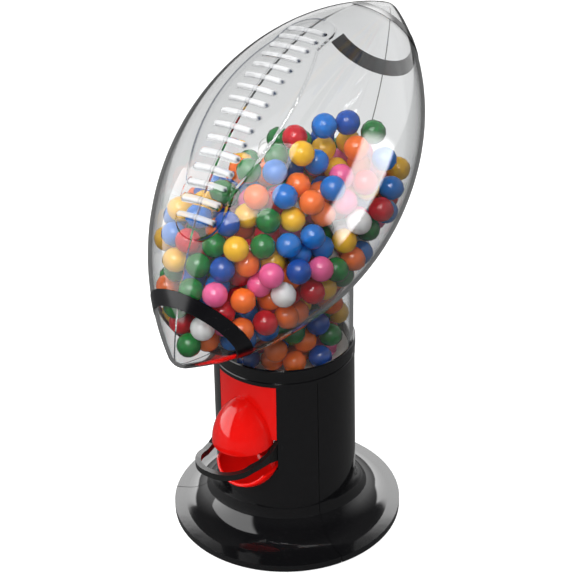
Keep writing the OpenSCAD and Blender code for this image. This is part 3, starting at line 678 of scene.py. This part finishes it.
BALL = 6.7 * MM    # radius
BALL_COLORS = {
    "blue": (0.003, 0.16, 0.58), "navy": (0.004, 0.065, 0.36), "orange": (0.97, 0.17, 0.016),
    "green": (0.004, 0.15, 0.022), "red": (0.58, 0.003, 0.014), "white": (0.86, 0.86, 0.85),
    "pink": (0.90, 0.13, 0.34), "yellow": (0.92, 0.50, 0.012),
}
BALL_WEIGHTS = [13, 9, 20, 16, 15, 15, 13, 12]
BALL_SEGMENTS, BALL_RINGS = 12, 8
GAP_TO_WALL = 0.1 * MM
TIP_ROOM = 4 * MM
HOPPER_LOW, HOPPER_BORE, HOPPER_SLOPE, HOPPER_GAP = 106 * MM, 9.8 * MM, 0.24, 0.8 * MM
HEAP_PEAK, HEAP_HEIGHT = (34 * MM, -8 * MM), 262 * MM
HEAP_SLOPE, BACK_SLOPE, LEFT_SLOPE = 0.38, 0.6, 0.5
BACK_START, LEFT_START = 22 * MM, 40 * MM
PITCH = 2 * BALL * 1.015
SPACING = 2 * BALL * 1.002
ROWS_APART, LAYERS_APART, LOWEST_LAYER = 0.866, 0.8165, 112 * MM
SEED_PACKING, SEED_COLORS = 11, 5
KEPT_SHARE = 0.85
SCATTER, START_DEPTH, HEAP_DEPTH, CREST_ROOM = 0.35, 0.6, 0.8, 1.5
START_LIMIT = 1.5 * MM
NECK_LIMIT_START, NECK_LIMIT = 200 * MM, 190 * MM
STEPS, SETTLING_STEPS, SHAKING_STEPS, CREST_HELD_STEPS = 300, 200, 120, 240
SINK, SHAKE, PUSH = 0.03 * MM, 0.2 * MM, 1.3
TINY = 1e-9
# Balls that show singly, on the heap's crest and in the lower tip: color, middle in millimetres.
CREST = [
    ("green", (0, -86.9, 154.3)), ("red", (-8, -79.7, 162.4)), ("white", (6.5, -81.1, 164.6)),
    ("orange", (1.5, -73.6, 152.9)),
    ("blue", (34, -8, 258)), ("navy", (40.5, 4.5, 256)), ("green", (48, 17, 249)),
    ("red", (22, -17, 252)), ("yellow", (31.5, -25, 248.5)), ("green", (14, -23, 242)),
    ("green", (9, -40, 239)), ("orange", (46, 3, 245.5)), ("blue", (21, -34, 239)),
    ("green", (0, -51, 229)), ("blue", (53, 20, 234)), ("blue", (33, -14, 240)),
]


def settled_balls():
    """Middles of the balls: a seeded loose packing below the heap's top, pressed apart for a fixed
    number of steps."""
    rng = np.random.default_rng(SEED_PACKING)
    axis = np.array([0, math.cos(LEAN), math.sin(LEAN)])
    middle = np.array(MIDDLE)
    big = BIG - (WALL + BALL + GAP_TO_WALL)
    neck = NECK_INNER - BALL - GAP_TO_WALL

    def globe_push(p):
        """Vector that brings each middle back inside the football."""
        q = p - middle
        along = q @ axis
        across = q - along[:, None] * axis
        r = np.linalg.norm(across, axis=1) + TINY
        outward = across / r[:, None]
        centre = -BIG_OFFSET
        d = np.hypot(r - centre, along)
        over = np.maximum(d - big, 0)
        n = ((r - centre) / d)[:, None] * outward + (along / d)[:, None] * axis
        past = np.maximum(np.abs(along) - (TIP_CENTRE - TIP_ROOM), 0)
        return -over[:, None] * n - (np.sign(along) * past)[:, None] * axis

    def neck_push(p):
        """Vector that brings each middle back inside the neck, above the hopper's floor."""
        r = np.hypot(p[:, 0], p[:, 1]) + TINY
        over = np.maximum(r - neck, 0)
        push = np.zeros_like(p)
        push[:, :2] = -(over / r)[:, None] * p[:, :2]
        low = HOPPER_LOW + BALL + np.maximum(0, r - HOPPER_BORE) * HOPPER_SLOPE + HOPPER_GAP
        push[:, 2] = np.maximum(low - p[:, 2], 0)
        return push

    def heap_top(p):
        """Height of the heap's surface, highest at its peak on the right."""
        right, back = p[:, 0] - HEAP_PEAK[0], p[:, 1] - HEAP_PEAK[1]
        return (HEAP_HEIGHT - HEAP_SLOPE * np.hypot(right, back)
                - BACK_SLOPE * np.maximum(back - BACK_START, 0)
                - LEFT_SLOPE * np.maximum(-right - LEFT_START, 0))

    grid = np.mgrid[-7:8, -10:11, 0:16].reshape(3, -1).T.astype(float)
    across, back, layer = grid[:, 0], grid[:, 1], grid[:, 2]
    spots = np.column_stack([
        (across + 0.5 * (back % 2) + 0.5 * (layer % 2)) * PITCH,
        (back + (layer % 2) / 3) * PITCH * ROWS_APART,
        LOWEST_LAYER + layer * PITCH * LAYERS_APART])
    spots += rng.uniform(-SCATTER, SCATTER, spots.shape) * BALL
    inside = np.linalg.norm(globe_push(spots), axis=1) < START_LIMIT
    in_neck = ((np.linalg.norm(neck_push(spots), axis=1) < START_LIMIT)
               & (spots[:, 2] < NECK_LIMIT_START))
    p = spots[(inside | in_neck) & (spots[:, 2] < heap_top(spots) - BALL * START_DEPTH)]
    p = p[rng.permutation(len(p))]
    p = p[:int(len(p) * KEPT_SHARE)]
    crest = np.array([place for _, place in CREST], float) * MM
    clear = np.linalg.norm(p[:, None] - crest[None], axis=2).min(1) > CREST_ROOM * BALL
    p = np.vstack([crest, p[clear]])
    for step in range(STEPS):
        gap = p[:, None, :] - p[None, :, :]
        dist = np.sqrt((gap ** 2).sum(2)) + np.eye(len(p))
        over = np.maximum(SPACING - dist, 0)
        np.fill_diagonal(over, 0)
        move = (gap * (over / dist * 0.5)[:, :, None]).sum(1)
        near = np.maximum((over > 0).sum(1), 1)
        p = p + move / np.sqrt(near)[:, None] * PUSH
        if step < SETTLING_STEPS:
            p[:, 2] -= SINK
            if step < SHAKING_STEPS:
                p += rng.uniform(-1, 1, p.shape) * SHAKE
            p[:, 2] -= np.maximum(p[:, 2] + BALL * HEAP_DEPTH - heap_top(p), 0)
        a, b = globe_push(p), neck_push(p)
        use_neck = ((np.linalg.norm(b, axis=1) < np.linalg.norm(a, axis=1))
                    & (p[:, 2] < NECK_LIMIT))
        p = p + np.where(use_neck[:, None], b, a)
        if step < CREST_HELD_STEPS:
            p[:len(crest)] = crest
    return p


def make_gumballs():
    """The heap as one mesh: every ball is turned and coloured by a seeded draw."""
    middles = settled_balls()
    rng = np.random.default_rng(SEED_COLORS)
    names = list(BALL_COLORS)
    weights = np.array(BALL_WEIGHTS, float)
    pattern = bpy.data.meshes.new("ball_pattern")
    bm = bmesh.new()
    bmesh.ops.create_uvsphere(bm, u_segments=BALL_SEGMENTS, v_segments=BALL_RINGS, radius=BALL)
    bm.to_mesh(pattern)
    bm.free()
    bm = bmesh.new()
    for number, p in enumerate(middles):
        ball = pattern.copy()
        turn = (Matrix.Rotation(rng.uniform(0, 6), 4, "X")
                @ Matrix.Rotation(rng.uniform(0, 6), 4, "Z"))
        ball.transform(Matrix.Translation(p) @ turn)
        color = int(rng.choice(len(names), p=weights / weights.sum()))
        if number < len(CREST):
            color = names.index(CREST[number][0])
        ball.polygons.foreach_set("material_index", [color] * len(ball.polygons))
        bm.from_mesh(ball)
        bpy.data.meshes.remove(ball)
    candy = [plastic("gumball_" + n, BALL_COLORS[n], rough=0.07, spread=0.08, dust=0.0, scale=300,
                     bump=0.03) for n in names]
    balls = mesh_object("gumball_heap", bm, candy, "globe", smooth_angle=80)
    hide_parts("gumballs")


make_gumballs()


# --- which lamp reaches what -------------------------------------------------------------------

def group_of(name, pieces):
    group = bpy.data.collections.new(name)
    for piece in pieces:
        group.objects.link(piece)
    return group


shells = [bpy.data.objects["globe_left_shell"], bpy.data.objects["globe_right_shell"]]
solid_pieces = [o for o in bpy.data.objects if o.type == "MESH" and o not in shells]
SOLIDS = group_of("solids", solid_pieces)
SHELLS = group_of("shells", shells)
for lamp in (KEY_BOX, FRONT_LAMP, SCOOP_LAMP):
    lamp.light_linking.blocker_collection = SOLIDS
FRONT_LAMP.light_linking.receiver_collection = group_of("balls", [bpy.data.objects["gumball_heap"]])
RIGHT_WINDOW.light_linking.receiver_collection = SHELLS
SCOOP_LAMP.light_linking.receiver_collection = group_of("scoop", [frame["nodes"]["chute_scoop"]])
BACK_SWEEP.light_linking.receiver_collection = SOLIDS
